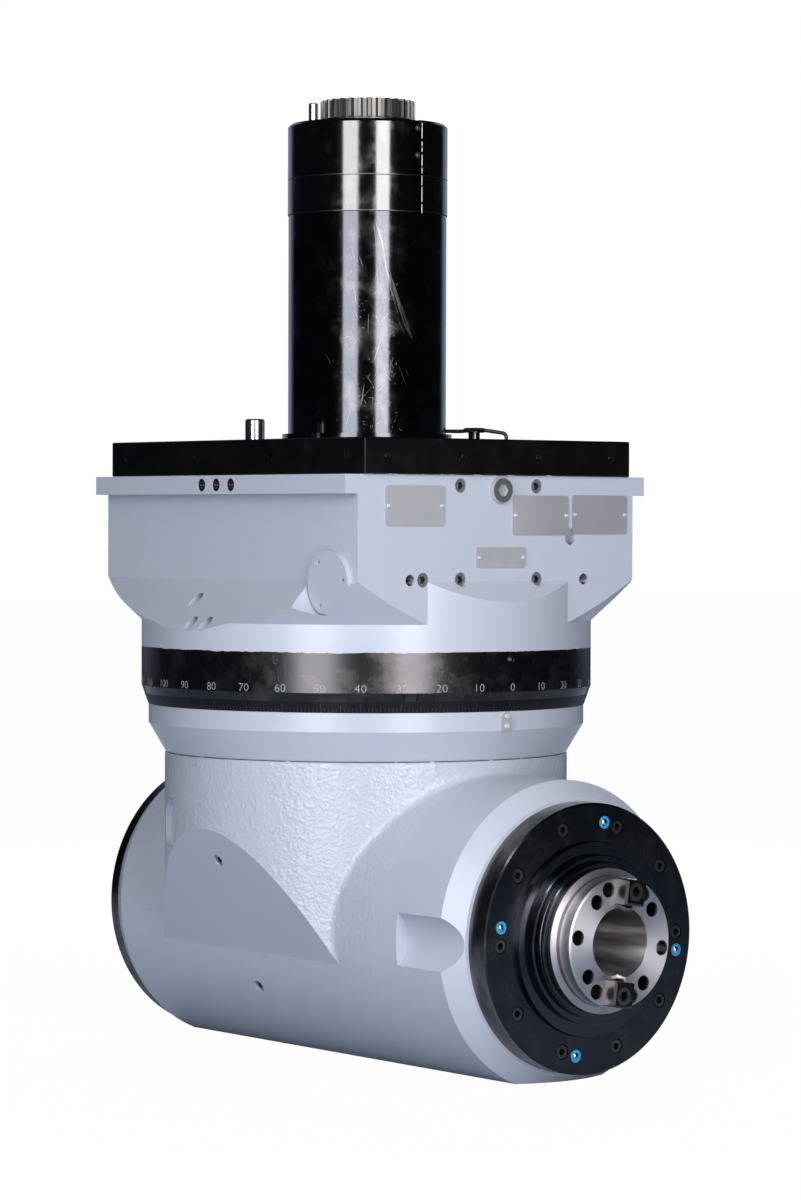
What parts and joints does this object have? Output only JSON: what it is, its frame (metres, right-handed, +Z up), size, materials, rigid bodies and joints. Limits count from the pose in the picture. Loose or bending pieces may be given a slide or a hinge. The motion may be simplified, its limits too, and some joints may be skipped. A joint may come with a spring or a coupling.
{
  "type": "angle head",
  "caption": "Right-angle milling head: black drive column with a toothed coupling, mounting plate, swivel joint with a degree scale, and a horizontal steep-taper spindle.",
  "frame": {"origin": "middle of the ram bolt pattern on top of the mounting plate, on the swivel axis", "axes": "+Z up into the machine ram along the swivel axis, -Y out of the spindle nose, +X to the right of someone facing the nose"},
  "size_m": [0.469, 0.6755, 0.9861],
  "materials": {
    "housing_paint": "satin cast paint",
    "black_oxide": "polished black oxide",
    "black_screw": "black oxide",
    "key_strip_black": "satin black oxide",
    "ground_steel": "ground",
    "gear_steel": "case hardened",
    "bearing_steel": "ground",
    "spring_steel": "phosphated",
    "zinc": "zinc plated",
    "plate_metal": "bare matt",
    "copper_ring": "plain",
    "blue_anodised": "blue anodised",
    "nozzle_steel": "polished",
    "seal_rubber": "matt",
    "cable_jacket": "matt"
  },
  "bodies": {
    "upper": {"column_sleeve": "black_oxide", "column_mid_ring": "black_oxide", "column_top_ring": "black_oxide", "column_base_ring": "black_oxide", "column_dowel": "ground_steel", "column_key_strip": "key_strip_black", "key_strip_screws": "black_screw", "shaft_seal": "seal_rubber", "column_bearing_rings": "bearing_steel", "mounting_plate": "black_oxide", "plate_screws": "black_screw", "locating_pin": "ground_steel", "connector_post": "black_screw", "cable_grommets": "seal_rubber", "signal_cable": "cable_jacket", "upper_housing": "housing_paint", "side_covers": "housing_paint", "side_cover_screws": "zinc", "housing_plugs": "zinc", "oil_plug": "zinc", "oil_plug_ring": "copper_ring", "sunk_plugs": "zinc", "name_plates": "plate_metal", "plate_rivets": "plate_metal", "scale_ring": "black_oxide", "scale_ring_screws": "zinc", "swivel_bearing_outer": "bearing_steel"},
    "swivel_head": {"swivel_bearing_inner": "bearing_steel", "swivel_flange": "housing_paint", "pointer": "plate_metal", "pointer_screws": "zinc", "lower_housing": "housing_paint", "side_plugs": "zinc", "rear_cover": "black_oxide", "rear_cover_bolts": "black_screw", "front_flange": "black_oxide", "front_flange_screws": "black_screw", "seal_hub": "black_oxide", "hub_set_screws": "black_screw", "nozzle_rings": "blue_anodised", "pinion_bearing_ring": "bearing_steel", "spindle_bearing_outers": "bearing_steel"},
    "drive_shaft": {"coupling_gear": "ground_steel", "drive_shaft": "ground_steel", "bevel_pinion": "gear_steel", "shaft_bearing_rings": "bearing_steel"},
    "spindle": {"spindle": "ground_steel", "spindle_keys": "ground_steel", "key_screws": "black_screw", "bevel_gear": "gear_steel", "spindle_bearing_inners": "bearing_steel", "spindle_nut": "bearing_steel", "disc_springs": "spring_steel"},
    "drawbar": {"drawbar": "ground_steel", "gripper": "ground_steel"},
    "nozzle_1": {"nozzle_ball_1": "nozzle_steel"},
    "nozzle_2": {"nozzle_ball_2": "nozzle_steel"},
    "nozzle_3": {"nozzle_ball_3": "nozzle_steel"},
    "nozzle_4": {"nozzle_ball_4": "nozzle_steel"}
  },
  "joints": [
    {"name": "head_swivel", "type": "hinge", "parent": "upper", "child": "swivel_head", "pos_m": [0, 0, -0.27215], "axis": [0, 0, 1], "range_deg": [-180, 180]},
    {"name": "drive_spin", "type": "hinge", "parent": "swivel_head", "child": "drive_shaft", "pos_m": [0, 0, 0], "axis": [0, 0, 1], "continuous": true},
    {"name": "spindle_spin", "type": "hinge", "parent": "swivel_head", "child": "spindle", "pos_m": [0, 0, -0.4894], "axis": [0, 1, 0], "continuous": true},
    {"name": "drawbar_slide", "type": "slide", "parent": "spindle", "child": "drawbar", "axis": [0, -1, 0], "range_m": [0, 0.01], "stiffness_N_per_m": 5000},
    {"name": "nozzle_1_tilt", "type": "hinge", "parent": "swivel_head", "child": "nozzle_1", "pos_m": [0.11309, -0.3542, -0.50731], "axis": [0.1564, 0, 0.9877], "range_deg": [-12, 12]},
    {"name": "nozzle_2_tilt", "type": "hinge", "parent": "swivel_head", "child": "nozzle_2", "pos_m": [0.01791, -0.3542, -0.37631], "axis": [-0.9877, 0, 0.1564], "range_deg": [-12, 12]},
    {"name": "nozzle_3_tilt", "type": "hinge", "parent": "swivel_head", "child": "nozzle_3", "pos_m": [-0.11309, -0.3542, -0.47149], "axis": [-0.1564, 0, -0.9877], "range_deg": [-12, 12]},
    {"name": "nozzle_4_tilt", "type": "hinge", "parent": "swivel_head", "child": "nozzle_4", "pos_m": [-0.01791, -0.3542, -0.60249], "axis": [0.9877, 0, -0.1564], "range_deg": [-12, 12]}
  ],
  "couplings": [
    {"joint": "drive_spin", "follows": "spindle_spin", "ratio": 1}
  ]
}
